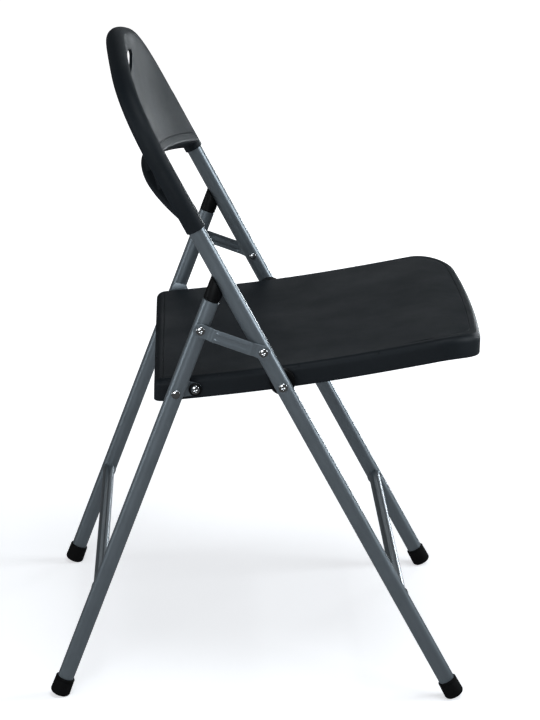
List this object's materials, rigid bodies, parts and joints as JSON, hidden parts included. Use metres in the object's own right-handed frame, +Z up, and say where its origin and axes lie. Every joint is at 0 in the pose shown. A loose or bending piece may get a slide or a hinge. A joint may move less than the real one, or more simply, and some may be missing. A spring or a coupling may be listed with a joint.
{
  "type": "folding chair",
  "caption": "Folding chair with a painted tube frame, side links, a moulded seat that lifts to fold, and a curved moulded backrest with a hand slot.",
  "frame": {"origin": "on the floor, in the middle of the chair's bounding box", "axes": "+Z up; +X towards the front of the seat; +Y to the sitter's left"},
  "size_m": [0.5234, 0.4806, 0.7851],
  "materials": {
    "frame_paint": "satin metallic grey powder coat with a fine texture",
    "moulded_plastic": "fine-grained moulded black plastic",
    "trim_plastic": "smooth black plastic",
    "foot_rubber": "matt black rubber",
    "fastener_zinc": "bright plated steel"
  },
  "bodies": {
    "front_frame": {"front_crossbar": "frame_paint", "backrest": "moulded_plastic", "front_leg_right": "frame_paint", "front_foot_right": "foot_rubber", "link_front_rivet_right": "fastener_zinc", "front_leg_left": "frame_paint", "front_foot_left": "foot_rubber", "link_front_rivet_left": "fastener_zinc"},
    "seat_body": {"seat": "moulded_plastic", "seat_pivot_screw_right": "fastener_zinc", "seat_pivot_spacer_right": "trim_plastic", "seat_hinge_screw_right": "fastener_zinc", "seat_pivot_screw_left": "fastener_zinc", "seat_pivot_spacer_left": "trim_plastic", "seat_hinge_screw_left": "fastener_zinc"},
    "rear_frame": {"rear_crossbar": "frame_paint", "rear_leg_right": "frame_paint", "rear_foot_right": "foot_rubber", "rear_leg_cap_right": "trim_plastic", "seat_bracket_right": "frame_paint", "bracket_rivet_right": "fastener_zinc", "hinge_washer_right": "trim_plastic", "link_rear_rivet_tail_right": "fastener_zinc", "rear_leg_left": "frame_paint", "rear_foot_left": "foot_rubber", "rear_leg_cap_left": "trim_plastic", "seat_bracket_left": "frame_paint", "bracket_rivet_left": "fastener_zinc", "hinge_washer_left": "trim_plastic", "link_rear_rivet_tail_left": "fastener_zinc"},
    "link_right": {"side_link_right": "frame_paint", "link_rear_rivet_right": "fastener_zinc"},
    "link_left": {"side_link_left": "frame_paint", "link_rear_rivet_left": "fastener_zinc"}
  },
  "joints": [
    {"name": "seat_fold", "type": "hinge", "parent": "front_frame", "child": "seat_body", "pos_m": [0.01374, 0, 0.4012], "axis": [0, -1, 0], "range_deg": [0, 105]},
    {"name": "rear_fold", "type": "hinge", "parent": "seat_body", "child": "rear_frame", "pos_m": [-0.0899, 0, 0.38903], "axis": [0, -1, 0], "range_deg": [-61.1, 0]},
    {"name": "link_right_turn", "type": "hinge", "parent": "front_frame", "child": "link_right", "pos_m": [-0.01054, -0.236, 0.4445], "axis": [0, -1, 0], "range_deg": [0, 116.34]},
    {"name": "link_left_turn", "type": "hinge", "parent": "front_frame", "child": "link_left", "pos_m": [-0.01054, 0.236, 0.4445], "axis": [0, -1, 0], "range_deg": [0, 116.34]}
  ],
  "couplings": [
    {"joint": "rear_fold", "follows": "seat_fold", "ratio": -0.5814},
    {"joint": "link_right_turn", "follows": "seat_fold", "ratio": 1.1075},
    {"joint": "link_left_turn", "follows": "seat_fold", "ratio": 1.1075}
  ]
}
